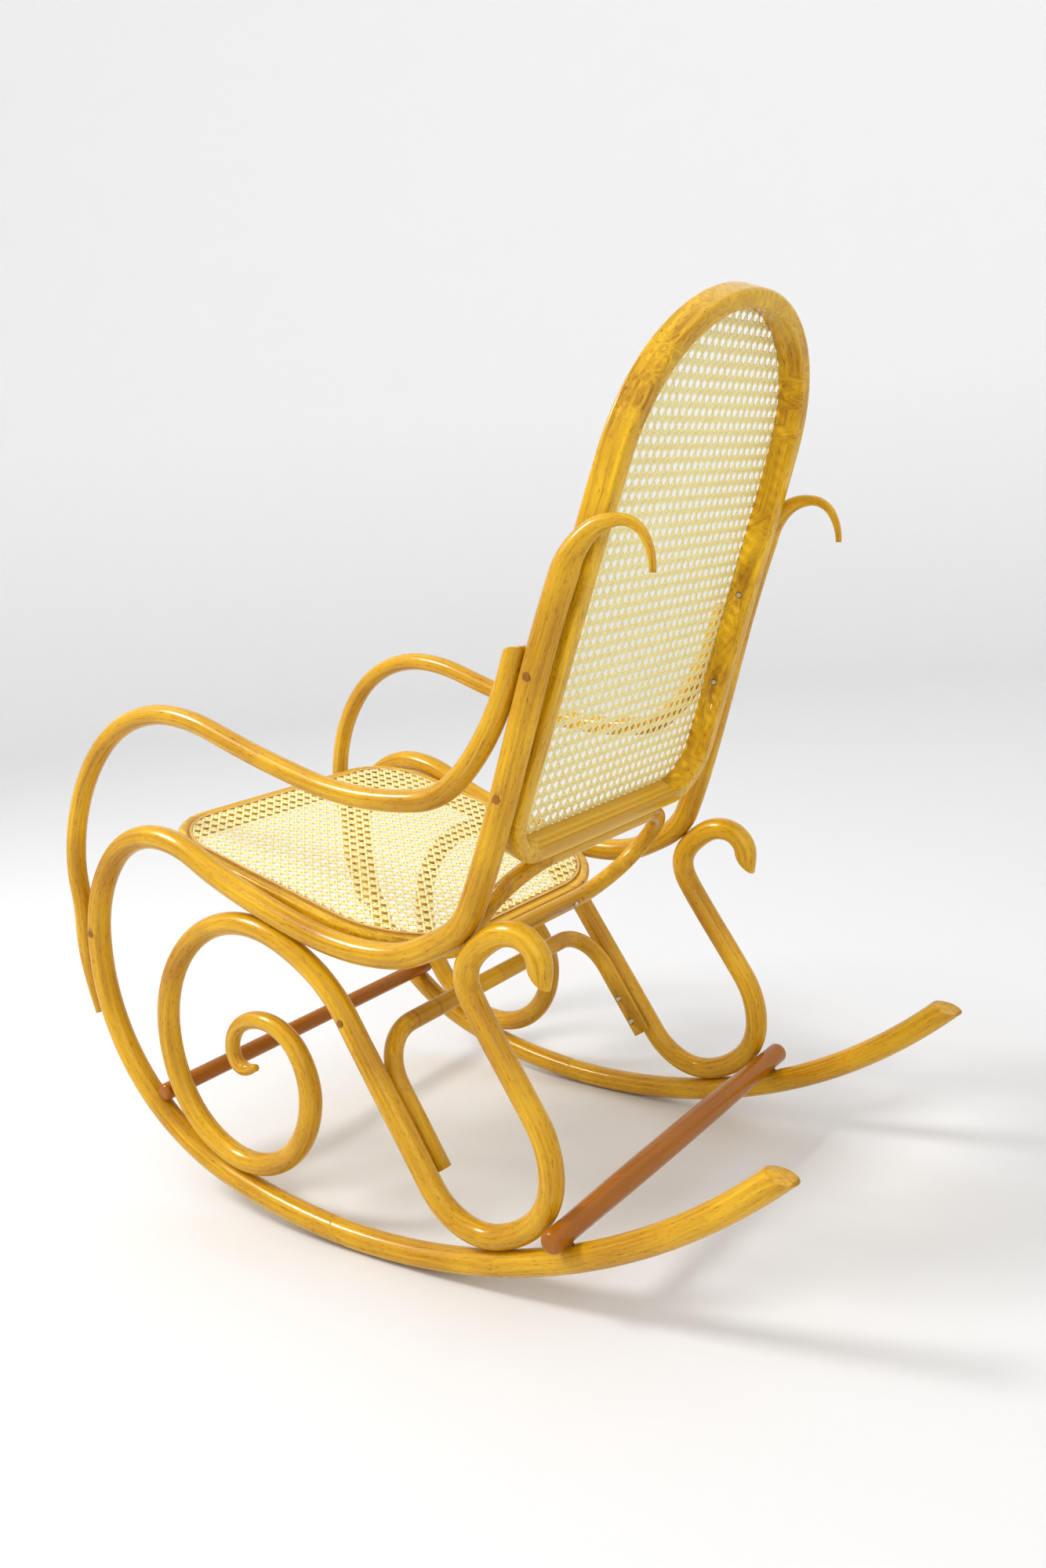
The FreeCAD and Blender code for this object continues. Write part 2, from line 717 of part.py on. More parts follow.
# Screws through the seat ring and the back hoop into the rails, from inside
def hoopScrews(name, place, halfWidth, alongs, height):
    solids = []
    for side in (1, -1):
        for along in alongs:
            inner = Vector(side * (halfWidth(along) - size(name + "_ring_width")), along, height)
            aim = place.Rotation.multVec(Vector(side, 0, 0))
            labels = [name + "_ring", "side_rail_" + sideName(side)]
            solids += screw(place.multVec(inner), aim, labels)
    fixingNode(name + "_screws", solids)


railPlaces = [seatPlacement.inverse().multVec(onFrame(node)).y for node in (railThigh, railSeatRear)]
hoopScrews("seat", seatPlacement, seatHalfWidth, railPlaces, size("seat_drop") - size("seat_ring_depth") / 2)
hoopScrews("back", backPlacement, backHalfWidth, (size("back_screw_low"), size("back_screw_high")), backMiddleDepth)


def loopScrews():
    solids = []
    outside = 2 * loopReach - size("contact_gap")
    for side in (1, -1):
        across = side * size("loop_screw_place")
        seatPoint = Vector(across, size("seat_rear_reach") + outside, -size("loop_drop"))
        seatAim = seatPlacement.Rotation.multVec(Vector(0, -1, 0))
        solids += screw(seatPlacement.multVec(seatPoint), seatAim, ["brace_loop", "seat_ring"])
        backPoint = Vector(across, -size("back_below") - outside, backMiddleDepth)
        backAim = backPlacement.Rotation.multVec(Vector(0, 1, 0))
        solids += screw(backPlacement.multVec(backPoint), backAim, ["brace_loop", "back_ring"])
    fixingNode("brace_loop_screws", solids)


def archScrews():
    solids = []
    for side in (1, -1):
        for along in (size("brace_screw_low"), size("brace_screw_high")):
            inner = Vector(side * (archHalfWidth(along) - size("under_brace_rod") / 2), along, 0)
            aim = Vector(side, 0, 0)
            labels = ["under_seat_brace", "scroll_leg_" + sideName(side)]
            solids += screw(archPlacement.multVec(inner), aim, labels)
    fixingNode("under_seat_brace_screws", solids)


# Dowels across the places where two rods of a side frame touch
def dowelAt(side, node, outward, rod, labels):
    point = shifted(node, outward * (size(rod) + size("contact_gap")) / 2)
    aim = leftOf(node[2])
    frame = framePlacement(side)
    return dowel(frame.multVec(Vector(0, point[0], point[1])), frame.Rotation.multVec(Vector(0, aim.x, aim.y)), labels)


def frameDowels(side):
    rail = "side_rail_" + sideName(side)
    rocker = "runner_" + sideName(side)
    leg = "scroll_leg_" + sideName(side)
    solids = []
    for node in (railRise, railThigh, railHip):
        solids += dowelAt(side, node, -1, "frame_rod", [rail, leg])
    solids += dowelAt(side, runnerBearing, 1, "frame_rod", [rocker, leg])
    fixingNode("leg_dowels_" + sideName(side), solids)
    armSolids = []
    for node in (railKnee, uprightMiddle):
        armSolids += dowelAt(side, node, 1, "frame_rod", [rail, "arm_" + sideName(side)])
    fixingNode("arm_dowels_" + sideName(side), armSolids)
    stretcherSolids = dowelAt(side, railFoot, -1, "frame_rod", [rail, "front_stretcher"])
    rearNode = rockerNode(size("rear_stretcher_angle"))
    stretcherSolids += dowelAt(side, rearNode, 1, "frame_rod", [rocker, "rear_stretcher"])
    fixingNode("stretcher_dowels_" + sideName(side), stretcherSolids)


# Wooden plugs that close the bored holes on the outer face of a side frame
def framePlugs(side):
    rail = "side_rail_" + sideName(side)
    frame = framePlacement(side)
    solids = []
    for node, rod, label in ((railKnee, "frame_rod", rail), (uprightLow, "frame_rod", rail),
                             (uprightMiddle, "frame_rod", rail), (legTop, "scroll_rod", "scroll_leg_" + sideName(side))):
        place = frame.multVec(Vector(side * size(rod) / 2, node[0], node[1]))
        solids += plug(place, frame.Rotation.multVec(Vector(-side, 0, 0)), [label])
    fixingNode("plugs_" + sideName(side), solids)


loopScrews()
archScrews()
for side in (1, -1):
    frameDowels(side)
    framePlugs(side)

doc.recompute()
for item in doc.Objects:
    if "Invalid" in item.State or "Error" in item.State:
        raise RuntimeError("%s is %s" % (item.Name, item.State))
for body in subparts:
    if body.Shape.isNull() or not body.Shape.isValid():
        raise RuntimeError("%s has no valid shape" % body.Label)
    body.Shape.exportStep("parts/%s.step" % body.Label)
    print("%s: %d solids, %.0f cm3" % (body.Label, len(body.Shape.Solids), body.Shape.Volume / 1000))
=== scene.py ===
import heapq
import math
import random

import bmesh
import bpy
import numpy as np
from mathutils import Matrix, Vector
from mathutils.bvhtree import BVHTree


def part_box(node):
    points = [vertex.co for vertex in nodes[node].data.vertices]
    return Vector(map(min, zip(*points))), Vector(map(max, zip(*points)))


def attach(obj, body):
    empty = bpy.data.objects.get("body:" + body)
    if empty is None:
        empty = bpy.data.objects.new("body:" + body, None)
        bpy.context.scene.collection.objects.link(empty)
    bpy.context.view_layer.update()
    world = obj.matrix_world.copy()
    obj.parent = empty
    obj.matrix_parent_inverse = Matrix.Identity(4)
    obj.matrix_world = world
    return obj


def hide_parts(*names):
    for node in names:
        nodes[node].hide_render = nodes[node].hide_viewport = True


# Bentwood rocking chair: lacquered beech rods and hoops from the frame, woven cane made here
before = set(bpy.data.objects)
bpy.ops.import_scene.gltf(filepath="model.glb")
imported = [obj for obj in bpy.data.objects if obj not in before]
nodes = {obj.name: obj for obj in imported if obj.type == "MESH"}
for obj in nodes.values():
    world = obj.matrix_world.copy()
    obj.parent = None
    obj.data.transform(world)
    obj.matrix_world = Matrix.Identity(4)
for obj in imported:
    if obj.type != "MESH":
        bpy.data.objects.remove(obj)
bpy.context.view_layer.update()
scene = bpy.context.scene
mergeGap = 1e-6               # metres between points of a CAD mesh that are one point
print("frame loaded:", len(nodes), "nodes")


def addNode(tree, kind, x=0, y=0, **settings):
    node = tree.nodes.new(kind)
    node.location = (x, y)
    for name, value in settings.items():
        setattr(node, name, value)
    return node


def setSockets(tree, node, values):
    # Each socket takes a plain value or what another node puts out
    for label, value in values.items():
        if isinstance(value, bpy.types.NodeSocket):
            tree.links.new(value, node.inputs[label])
        else:
            node.inputs[label].default_value = value


def stretched(tree, vector, scale, x, y):
    node = addNode(tree, "ShaderNodeMapping", x, y)
    setSockets(tree, node, {"Vector": vector, "Scale": scale})
    return node.outputs["Vector"]


def noise(tree, vector, scale, x, y, detail=2, roughness=0.5):
    node = addNode(tree, "ShaderNodeTexNoise", x, y)
    setSockets(tree, node, {"Vector": vector, "Scale": scale, "Detail": detail, "Roughness": roughness})
    return node.outputs["Fac"]


def remapped(tree, value, x, y, given=(0, 1), wanted=(0, 1)):
    node = addNode(tree, "ShaderNodeMapRange", x, y)
    setSockets(tree, node, {"Value": value, "From Min": given[0], "From Max": given[1],
                            "To Min": wanted[0], "To Max": wanted[1]})
    return node.outputs["Result"]


def calculated(tree, operation, terms, x, y, clamp=False):
    node = addNode(tree, "ShaderNodeMath", x, y, operation=operation, use_clamp=clamp)
    setSockets(tree, node, dict(enumerate(terms)))
    return node.outputs[0]


def blended(tree, share, first, second, x, y):
    node = addNode(tree, "ShaderNodeMix", x, y, data_type="RGBA")
    setSockets(tree, node, {"Factor": share, "A": first, "B": second})
    return node.outputs["Result"]


def bumped(tree, height, strength, distance, x, y):
    node = addNode(tree, "ShaderNodeBump", x, y)
    setSockets(tree, node, {"Height": height, "Strength": strength, "Distance": distance})
    return node.outputs["Normal"]


def split(tree, vector, x, y):
    node = addNode(tree, "ShaderNodeSeparateXYZ", x, y)
    setSockets(tree, node, {"Vector": vector})
    return node.outputs


def newGroup(name, inputs, outputs):
    group = bpy.data.node_groups.new(name, "ShaderNodeTree")
    for label, kind, value in inputs:
        socket = group.interface.new_socket(label, in_out="INPUT", socket_type=kind)
        if value is not None:
            socket.default_value = value
    for label, kind in outputs:
        group.interface.new_socket(label, in_out="OUTPUT", socket_type=kind)
    return group, addNode(group, "NodeGroupInput", -900), addNode(group, "NodeGroupOutput", 700)


def newMaterial(name):
    material = bpy.data.materials.new(name)
    material.use_nodes = True
    tree = material.node_tree
    return material, tree, tree.nodes["Principled BSDF"]


def makePiece(shape, name, material):
    # A finished bmesh becomes a smooth-shaded object at the origin
    mesh = bpy.data.meshes.new(name)
    shape.to_mesh(mesh)
    shape.free()
    mesh.polygons.foreach_set("use_smooth", [True] * len(mesh.polygons))
    mesh.materials.append(material)
    piece = bpy.data.objects.new(name, mesh)
    scene.collection.objects.link(piece)
    return piece


fibre = {
    "streakStretch": (4, 150, 150),      # along, across and beside the grain
    "streakScale": 1.6,
    "streakDetail": 5,
    "streakRoughness": 0.6,
    "streakRange": (0.3, 0.75),
    "driftScale": 7,
    "driftRange": (0.35, 0.7),
    "driftShare": (0, 0.38),
    "fleckStretch": (90, 900, 900),
    "fleckDetail": 1,
    "fleckRange": (0.62, 0.72),
    "roughness": (0.2, 0.34),
}


# Straight-grained wood: long fibres, slow drifts of tone and short dark flecks, along the X of its vector
def buildGrain():
    group, inside, outside = newGroup(
        "woodGrain",
        [("Vector", "NodeSocketVector", None), ("Light", "NodeSocketColor", (0.8, 0.5, 0.2, 1)),
         ("Dark", "NodeSocketColor", (0.5, 0.2, 0.05, 1)), ("Streaks", "NodeSocketFloat", 0.5),
         ("Flecks", "NodeSocketFloat", 0.5)],
        [("Color", "NodeSocketColor"), ("Height", "NodeSocketFloat"), ("Roughness", "NodeSocketFloat")])
    given = inside.outputs
    vector = given["Vector"]
    longWays = stretched(group, vector, fibre["streakStretch"], -700, 0)
    streaks = noise(group, longWays, fibre["streakScale"], -500, 0,
                    fibre["streakDetail"], fibre["streakRoughness"])
    streakMask = remapped(group, streaks, -300, 0, fibre["streakRange"])
    streakShare = calculated(group, "MULTIPLY", (streakMask, given["Streaks"]), -100, 0)
    drift = noise(group, vector, fibre["driftScale"], -500, -250)
    driftShare = remapped(group, drift, -300, -250, fibre["driftRange"], fibre["driftShare"])
    shortWays = stretched(group, vector, fibre["fleckStretch"], -700, -500)
    flecks = noise(group, shortWays, 1, -500, -500, fibre["fleckDetail"])
    fleckMask = remapped(group, flecks, -300, -500, fibre["fleckRange"])
    fleckShare = calculated(group, "MULTIPLY", (fleckMask, given["Flecks"]), -100, -500)
    slowAndLong = calculated(group, "ADD", (streakShare, driftShare), 100, 0)
    darkness = calculated(group, "ADD", (slowAndLong, fleckShare), 250, 0, True)
    setSockets(group, outside, {
        "Color": blended(group, darkness, given["Light"], given["Dark"], 400, 0),
        "Height": streaks,
        "Roughness": remapped(group, drift, 400, -250, wanted=fibre["roughness"]),
    })
    return group


woodGrain = buildGrain()

# Linear colours of the wood, and how much its streaks and its flecks darken it
beech = {
    "bentWood": {"Light": (0.84, 0.52, 0.022), "Dark": (0.34, 0.12, 0.001), "Streaks": 0.55, "Flecks": 0.45},
    # Painted light: the rings get a lighter copy of the same beech, standing for their brightly lit faces
    "litHoopWood": {"Light": (0.97, 0.64, 0.025), "Dark": (0.34, 0.12, 0.001), "Streaks": 0.6, "Flecks": 0.4},
    # Painted shade: the stretchers under the seat get a darker copy of the same beech, standing for the
    # shade they sit in
    "shadedBarWood": {"Light": (0.44, 0.155, 0.004), "Dark": (0.34, 0.12, 0.001), "Streaks": 0.5, "Flecks": 0.4},
    "plugWood": {"Light": (0.42, 0.17, 0.03), "Dark": (0.20, 0.07, 0.01), "Streaks": 0.6, "Flecks": 0.2},
}
lacquer = {
    "specular": 0.35,
    "coat": 0.3,
    "coatRoughness": 0.08,
    "bump": 0.06,
    "bumpDepth": 0.001,
}


def woodMaterial(name, followsRod=True):
    material, tree, shader = newMaterial(name)
    if followsRod:
        place = addNode(tree, "ShaderNodeAttribute", -700, attribute_name="grain").outputs["Vector"]
    else:
        place = addNode(tree, "ShaderNodeTexCoord", -700).outputs["Object"]
    wood = addNode(tree, "ShaderNodeGroup", -450, node_tree=woodGrain)
    finish = dict(beech[name])
    for label in ("Light", "Dark"):
        finish[label] = (*finish[label], 1)
    setSockets(tree, wood, {"Vector": place, **finish})
    setSockets(tree, shader, {
        "Base Color": wood.outputs["Color"],
        "Roughness": wood.outputs["Roughness"],
        "Normal": bumped(tree, wood.outputs["Height"], lacquer["bump"], lacquer["bumpDepth"], -200, -300),
        "Specular IOR Level": lacquer["specular"],
        "Coat Weight": lacquer["coat"],
        "Coat Roughness": lacquer["coatRoughness"],
    })
    return material


bentWood = woodMaterial("bentWood")
litHoopWood = woodMaterial("litHoopWood")
shadedBarWood = woodMaterial("shadedBarWood", False)
plugWood = woodMaterial("plugWood", False)
print("wood materials built")

cane = {
    "pitch": 0.015,           # distance between neighbouring pairs
    "pairGap": 0.0014,        # half the distance between the two strands of a pair
    "pairWidth": 0.0022,
    "slantWidth": 0.0026,
    "thickness": 0.0005,
    "crown": 0.00014,         # how far a strand's middle stands above its edges
    "pairWave": 0.0004,       # how far a paired strand rises and falls
    "slantWave": 0.00052,
    "squareness": 1.8,        # flattens the top of a slanting strand's wave
    "stations": 6,            # faces along a strand in one pitch
    "endDip": 0.0009,         # how far the ends drop towards the spline groove
    "endReach": 0.005,
    "facing": 0.7,            # how squarely a face looks out where it belongs to the caned side
    "light": (1.0, 0.95, 0.56, 1),
    "dark": (0.95, 0.80, 0.36, 1),
    "toneShare": 0.5,         # of the difference between strands, and of the fibres in each
    "fibreStretch": (60, 2500, 400),
    "fibreDetail": 3,
    "bump": 0.2,
    "bumpDepth": 0.0002,
    "roughness": 0.38,
    "coat": 0.25,
    "coatRoughness": 0.2,
    "seed": 7,
}


def buildCane():
    material, tree, shader = newMaterial("wovenCane")
    strand = addNode(tree, "ShaderNodeAttribute", -900, attribute_name="strand").outputs["Vector"]
    ownTone = split(tree, strand, -700, 0)["Z"]
    longWays = stretched(tree, strand, cane["fibreStretch"], -700, -250)
    fibres = noise(tree, longWays, 1, -500, -250, cane["fibreDetail"])
    fibreTone = calculated(tree, "MULTIPLY", (fibres, cane["toneShare"]), -300, -250)
    darkness = calculated(tree, "MULTIPLY_ADD", (ownTone, cane["toneShare"], fibreTone), -300, 0)
    setSockets(tree, shader, {
        "Base Color": blended(tree, darkness, cane["light"], cane["dark"], -100, 0),
        "Normal": bumped(tree, fibres, cane["bump"], cane["bumpDepth"], -100, -300),
        "Roughness": cane["roughness"],
        "Coat Weight": cane["coat"],
        "Coat Roughness": cane["coatRoughness"],
    })
    return material


wovenCane = buildCane()


def panelPlace(node, facing):
    # The panel's own plane: X across, Y along it and Z out of its caned face, from its middle
    mesh = nodes[node].data
    normal = Vector()
    for face in mesh.polygons:
        if face.normal.dot(facing) > cane["facing"]:
            normal += face.normal * face.area
    normal.normalize()
    across = Vector((1, 0, 0))
    along = normal.cross(across)
    low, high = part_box(node)
    middle = (low + high) / 2
    height = max(vert.co.dot(normal) for vert in mesh.vertices)
    place = Matrix((across, along, normal)).transposed().to_4x4()
    place.translation = middle + normal * (height - middle.dot(normal))
    return place


def panelWalls(node, place):
    # The panel in its own plane, for rays that run along it, and the height of its middle
    block = bmesh.new()
    block.from_mesh(nodes[node].data)
    bmesh.ops.remove_doubles(block, verts=block.verts[:], dist=mergeGap)
    bmesh.ops.transform(block, matrix=place.inverted(), verts=block.verts[:])
    middle = min(vert.co.z for vert in block.verts) / 2
    tree = BVHTree.FromBMesh(block)
    block.free()
    return tree, middle


def spanOf(walls, point, aim):
    # Where a line in the panel's plane enters and leaves the panel, as distances along the aim
    tree, height = walls
    start = Vector((point.x, point.y, height))
    far = 2.0
    enter = tree.ray_cast(start - aim * far, aim)[0]
    leave = tree.ray_cast(start + aim * far, -aim)[0]
    if enter is None or leave is None:
        return None
    return (enter - start).dot(aim), (leave - start).dot(aim)


def pairHeight(sign, axis):
    # Each strand of a pair goes over where its neighbour goes under
    return lambda p: sign * cane["pairWave"] * math.sin(2 * math.pi * p[axis] / cane["pitch"])


def slantHeight(sign):
    bend = cane["squareness"]

    def height(p):
        wave = math.cos(2 * math.pi * p.x / cane["pitch"])
        return sign * cane["slantWave"] * math.tanh(bend * wave) / math.tanh(bend)
    return height


def strandsOf(family, index):
    # Where the strands of one row start, and the height of each at a place
    pitch = cane["pitch"]
    if family.startswith("slants"):
        sign = 1 if family == "slantsA" else -1
        return [(Vector(((index + 0.5) * pitch, 0, 0)), slantHeight(sign))]
    counted, waved = (0, 1) if family == "uprights" else (1, 0)
    strands = []
    for hand in (-1, 1):
        start = Vector((0, 0, 0))
        start[counted] = index * pitch + hand * cane["pairGap"]
        strands.append((start, pairHeight(hand, waved)))
    return strands


def addStrand(weave, tone, point, aim, span, width, height):
    # One flat strip from a grid, bent over and under by the height at each place along it
    first, last = span
    count = max(2, round((last - first) / cane["pitch"] * cane["stations"]))
    strip = bmesh.ops.create_grid(weave, x_segments=count, y_segments=2, size=0.5)["verts"]
    beside = Vector((-aim.y, aim.x, 0))
    for vert in strip:
        along = first + (vert.co.x + 0.5) * (last - first)
        across = vert.co.y
        place = point + aim * along + beside * across * width
        nearest = min(along - first, last - along)
        dip = cane["endDip"] * max(0, 1 - nearest / cane["endReach"]) ** 2
        place.z = height(place) - dip + cane["crown"] * (1 - abs(across) * 2)
        vert[weave.verts.layers.float_vector["strand"]] = (along, across * width, tone)
        vert.co = place


families = {
    "uprights": (Vector((0, 1, 0)), cane["pairWidth"]),
    "crossways": (Vector((1, 0, 0)), cane["pairWidth"]),
    "slantsA": (Vector((1, -1, 0)).normalized(), cane["slantWidth"]),
    "slantsB": (Vector((1, 1, 0)).normalized(), cane["slantWidth"]),
}


def weavePanel(name, node, facing):
    place = panelPlace(node, facing)
    walls = panelWalls(node, place)
    pitch = cane["pitch"]
    depth = cane["slantWave"] + cane["thickness"] / 2 + cane["crown"]
    lowered = place @ Matrix.Translation((0, 0, -depth))
    low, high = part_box(node)
    count = int((high - low).length / pitch) + 1
    chance = random.Random(cane["seed"])
    for family, (aim, width) in families.items():
        weave = bmesh.new()
        weave.verts.layers.float_vector.new("strand")
        for index in range(-count, count + 1):
            for start, height in strandsOf(family, index):
                span = spanOf(walls, start, aim)
                if span and span[1] - span[0] > pitch / 2:
                    addStrand(weave, chance.random(), start, aim, span, width, height)
        bmesh.ops.transform(weave, matrix=lowered, verts=weave.verts[:])
        piece = makePiece(weave, name + "_" + family, wovenCane)
        wall = piece.modifiers.new("thickness", "SOLIDIFY")
        wall.thickness = cane["thickness"]
        wall.offset = 0
        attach(piece, "root")
        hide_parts(node)
        print(piece.name, len(piece.data.polygons), "faces")


weavePanel("seat_weave", "seat_cane", Vector((0, 0, 1)))
weavePanel("back_weave", "back_cane", Vector((0, -1, 0)))
print("cane woven")

reed = {
    "light": (0.82, 0.56, 0.22, 1),
    "dark": (0.58, 0.33, 0.10, 1),
    "spotScale": 60,
    "spotDetail": 3,
    "roughness": 0.42,
}
steel = {
    "colour": (0.62, 0.58, 0.50, 1),
    "scuffScale": 900,
    "roughness": (0.22, 0.45),
}


def buildReed():
    material, tree, shader = newMaterial("reedSpline")
    place = addNode(tree, "ShaderNodeTexCoord", -700).outputs["Object"]
    spots = noise(tree, place, reed["spotScale"], -500, 0, reed["spotDetail"])
    setSockets(tree, shader, {
        "Base Color": blended(tree, spots, reed["light"], reed["dark"], -200, 0),
        "Roughness": reed["roughness"],
    })
    return material


def buildSteel():
    material, tree, shader = newMaterial("screwSteel")
    place = addNode(tree, "ShaderNodeTexCoord", -700).outputs["Object"]
    scuffs = noise(tree, place, steel["scuffScale"], -500, 0)
    setSockets(tree, shader, {
        "Base Color": steel["colour"],
        "Metallic": 1,
        "Roughness": remapped(tree, scuffs, -300, 0, wanted=steel["roughness"]),
    })
    return material


def finishNode(name, material):
    mesh = nodes[name].data
    mesh.materials.clear()
    mesh.materials.append(material)


reedSpline = buildReed()
screwSteel = buildSteel()
for nodeName in nodes:
    if "screws" in nodeName:
        finishNode(nodeName, screwSteel)
    elif "plugs" in nodeName or "dowels" in nodeName:
        finishNode(nodeName, plugWood)
    elif "spline" in nodeName:
        finishNode(nodeName, reedSpline)
    elif "stretcher" in nodeName:
        finishNode(nodeName, shadedBarWood)
print("small parts finished")

rod = {
    "step": 0.012,            # spacing of the points found along a rod's middle
    "radius": 0.014,          # about a rod's radius, which takes a surface point to its middle
    "shortest": 1e-9,         # keeps a run of no length from dividing by nothing
    "sharp": math.radians(35),
    "bent": ("side_rail_left", "side_rail_right", "runner_left", "runner_right", "scroll_leg_left",
             "scroll_leg_right", "under_seat_brace", "arm_left", "arm_right"),
    "loops": ("brace_loop",),
    "hoops": ("seat_ring", "back_ring"),
}


def walkFrom(start, steps):
    # The shortest way over the surface from one vertex to each of the others
    lengths = {start: 0.0}
    queue = [(0.0, start)]
    while queue:
        length, index = heapq.heappop(queue)
        if length > lengths[index]:
            continue
        for other, gap in steps[index]:
            if length + gap < lengths.get(other, math.inf):
                lengths[other] = length + gap
                heapq.heappush(queue, (length + gap, other))
    return lengths


def middleLine(copy, closed, radius):
    # Points along the middle of the rod, from one end, or from the lowest point of a closed one
    copy.verts.ensure_lookup_table()
    spots = np.array([vert.co - vert.normal * radius for vert in copy.verts])
    if closed:
        spots[:, 0] = np.abs(spots[:, 0])
    steps = [[] for vert in copy.verts]
    for edge in copy.edges:
        first, second = (vert.index for vert in edge.verts)
        steps[first].append((second, edge.calc_length()))
        steps[second].append((first, edge.calc_length()))
    if closed:
        start = min(range(len(spots)), key=lambda index: spots[index][0] + spots[index][2])
    else:
        fromAnywhere = walkFrom(0, steps)
        start = max(fromAnywhere, key=fromAnywhere.get)
    bins = {}
    for index, length in walkFrom(start, steps).items():
        bins.setdefault(int(length / rod["step"]), []).append(index)
    line = np.array([spots[bins[key]].mean(axis=0) for key in sorted(bins)])
    line[1:-1] = (line[:-2] + line[1:-1] * 2 + line[2:]) / 4
    return line


def followRod(copy, closed, radius):
    # Grain coordinates of each vertex: how far along the bent rod, and where across it
    line = middleLine(copy, closed, radius)
    runs = line[1:] - line[:-1]
    spans = np.linalg.norm(runs, axis=1) + rod["shortest"]
    marks = np.concatenate([[0], np.cumsum(spans)])
    layer = copy.verts.layers.float_vector.new("grain")
    for vert in copy.verts:
        point = np.array(vert.co)
        if closed:
            point[0] = abs(point[0])
        shares = np.clip(((point - line[:-1]) * runs).sum(axis=1) / spans ** 2, 0, 1)
        nearest = line[:-1] + runs * shares[:, None]
        best = int(np.argmin(((nearest - point) ** 2).sum(axis=1)))
        away = point - nearest[best]
        beside = np.cross(runs[best] / spans[best], (1, 0, 0))
        vert[layer] = (marks[best] + shares[best] * spans[best], away[0], float(away @ beside))


def dressRod(name, material, closed=False, radius=rod["radius"]):
    # The CAD rod's own shape as one joined skin, so that the grain can run along it
    copy = bmesh.new()
    copy.from_mesh(nodes[name].data)
    bmesh.ops.remove_doubles(copy, verts=copy.verts[:], dist=mergeGap)
    copy.normal_update()
    followRod(copy, closed, radius)
    piece = makePiece(copy, name + "_wood", material)
    piece.data.set_sharp_from_angle(angle=rod["sharp"])
    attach(piece, "root")
    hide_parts(name)


for nodeName in list(nodes):
    if nodeName in rod["bent"]:
        dressRod(nodeName, bentWood)
    elif nodeName in rod["loops"]:
        dressRod(nodeName, bentWood, True)
    elif nodeName in rod["hoops"]:
        dressRod(nodeName, litHoopWood, True, 0)
print("rods dressed")

studio = {
    "radius": 5.0,            # of the floor, before it curves up into the wall
    "cove": 1.5,
    "coveSteps": 12,
    "wall": 5.0,
    "turnSteps": 96,
    "seamGap": 1e-5,
    "wallPaper": (0.96, 0.96, 0.965, 1),
    # Painted shade: the floor's paper is darker than the wall's, standing for shade on the floor
    "shadedFloorPaper": (0.80, 0.80, 0.805, 1),
    "roughness": 0.9,
    "specular": 0.1,
    "skyColour": (1, 1, 1, 1),
    "skyStrength": 1.0,
    "gamma": 0.85,            # deepens the wood and leaves the white paper white
    "aim": (0, 0, 0.5),
    "keyPower": 62,
    "keySize": 0.9,
    "keyPlace": (1.6, -1.9, 2.9),
    "fillPower": 15,
    "fillSize": 2.5,
    "fillPlace": (2.6, 2.6, 2.2),
}


def buildPaper():
    # Paler where it climbs the wall than where it lies on the floor: the greyer floor is painted shade on
    # one white paper
    material, tree, shader = newMaterial("studioPaper")
    place = addNode(tree, "ShaderNodeTexCoord", -700).outputs["Object"]
    height = split(tree, place, -500, 0)["Z"]
    rise = remapped(tree, height, -350, 0, (0, studio["cove"]))
    setSockets(tree, shader, {
        "Base Color": blended(tree, rise, studio["shadedFloorPaper"], studio["wallPaper"], -200, 0),
        "Roughness": studio["roughness"],
        "Specular IOR Level": studio["specular"],
    })
    return material


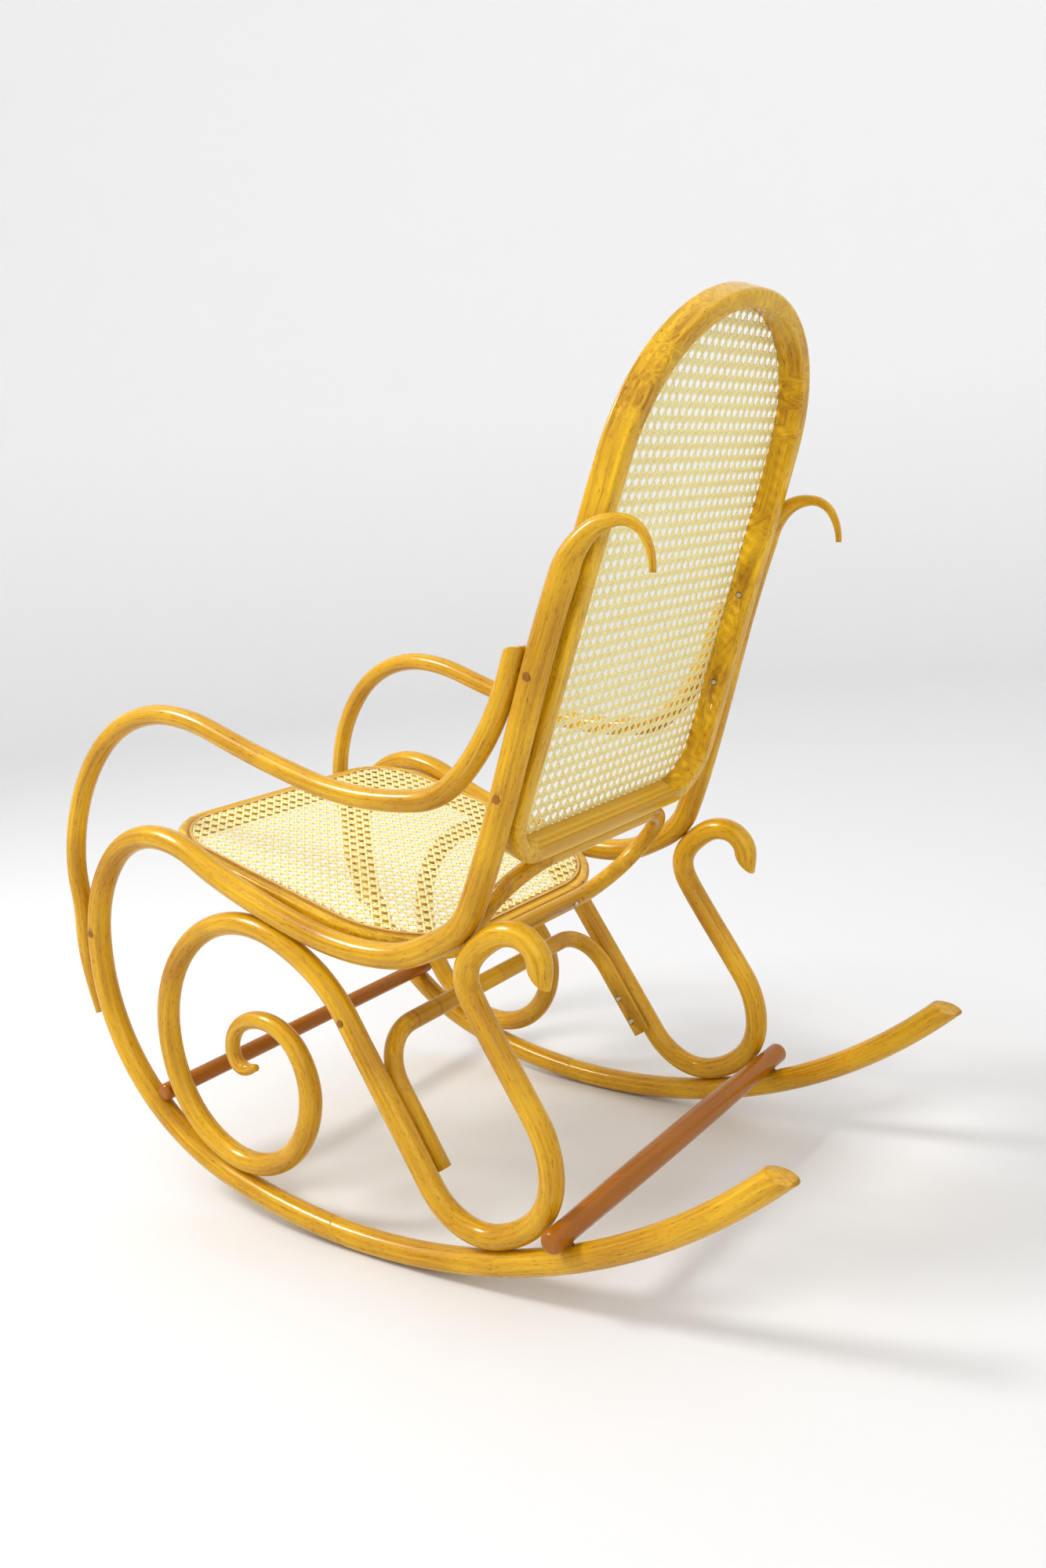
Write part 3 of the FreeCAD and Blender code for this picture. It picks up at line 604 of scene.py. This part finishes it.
def studioFloor():
    sweep = bmesh.new()
    profile = [Vector((0, 0, 0)), Vector((studio["radius"], 0, 0))]
    for step in range(1, studio["coveSteps"] + 1):
        turn = math.pi / 2 * step / studio["coveSteps"]
        out = studio["radius"] + studio["cove"] * math.sin(turn)
        profile.append(Vector((out, 0, studio["cove"] * (1 - math.cos(turn)))))
    profile.append(Vector((studio["radius"] + studio["cove"], 0, studio["wall"])))
    verts = [sweep.verts.new(point) for point in profile]
    edges = [sweep.edges.new(pair) for pair in zip(verts[:-1], verts[1:])]
    bmesh.ops.spin(sweep, geom=verts + edges, cent=(0, 0, 0), axis=(0, 0, 1), angle=2 * math.pi,
                   steps=studio["turnSteps"], use_merge=True)
    bmesh.ops.remove_doubles(sweep, verts=sweep.verts[:], dist=studio["seamGap"])
    bmesh.ops.recalc_face_normals(sweep, faces=sweep.faces[:])
    makePiece(sweep, "studioFloor", buildPaper())


def areaLight(name, place, extent, power):
    lamp = bpy.data.lights.new(name, "AREA")
    lamp.shape = "DISK"
    lamp.size = extent
    lamp.energy = power
    light = bpy.data.objects.new(name, lamp)
    light.location = place
    light.rotation_euler = (Vector(studio["aim"]) - Vector(place)).to_track_quat("-Z", "Y").to_euler()
    scene.collection.objects.link(light)


studioFloor()
world = bpy.data.worlds.new("studioSky")
world.use_nodes = True
sky = world.node_tree.nodes["Background"]
setSockets(world.node_tree, sky, {"Color": studio["skyColour"], "Strength": studio["skyStrength"]})
scene.world = world
areaLight("keyLight", studio["keyPlace"], studio["keySize"], studio["keyPower"])
areaLight("fillLight", studio["fillPlace"], studio["fillSize"], studio["fillPower"])
scene.view_settings.view_transform = "Standard"
scene.view_settings.gamma = studio["gamma"]
print("studio set")

view = {
    "place": (1.354, 1.0775, 0.881),     # metres, behind the chair on the sitter's left
    "forward": (-0.785, -0.589, -0.192),
    "up": (-0.208, -0.042, 0.977),
    "focalPixels": 1700,
    "frameHeight": 2000,
    "sensor": 36,
    "clipStart": 0.05,
    "clipEnd": 50,
}


def placeCamera():
    lens = bpy.data.cameras.new("camera")
    lens.sensor_fit = "VERTICAL"
    lens.sensor_height = view["sensor"]
    lens.lens = view["focalPixels"] / view["frameHeight"] * view["sensor"]
    lens.clip_start = view["clipStart"]
    lens.clip_end = view["clipEnd"]
    camera = bpy.data.objects.new("camera", lens)
    forward = Vector(view["forward"]).normalized()
    right = forward.cross(Vector(view["up"])).normalized()
    above = right.cross(forward)
    turn = Matrix((right, above, -forward)).transposed().to_4x4()
    camera.matrix_world = Matrix.Translation(view["place"]) @ turn
    scene.collection.objects.link(camera)
    scene.camera = camera


placeCamera()
print("camera placed")
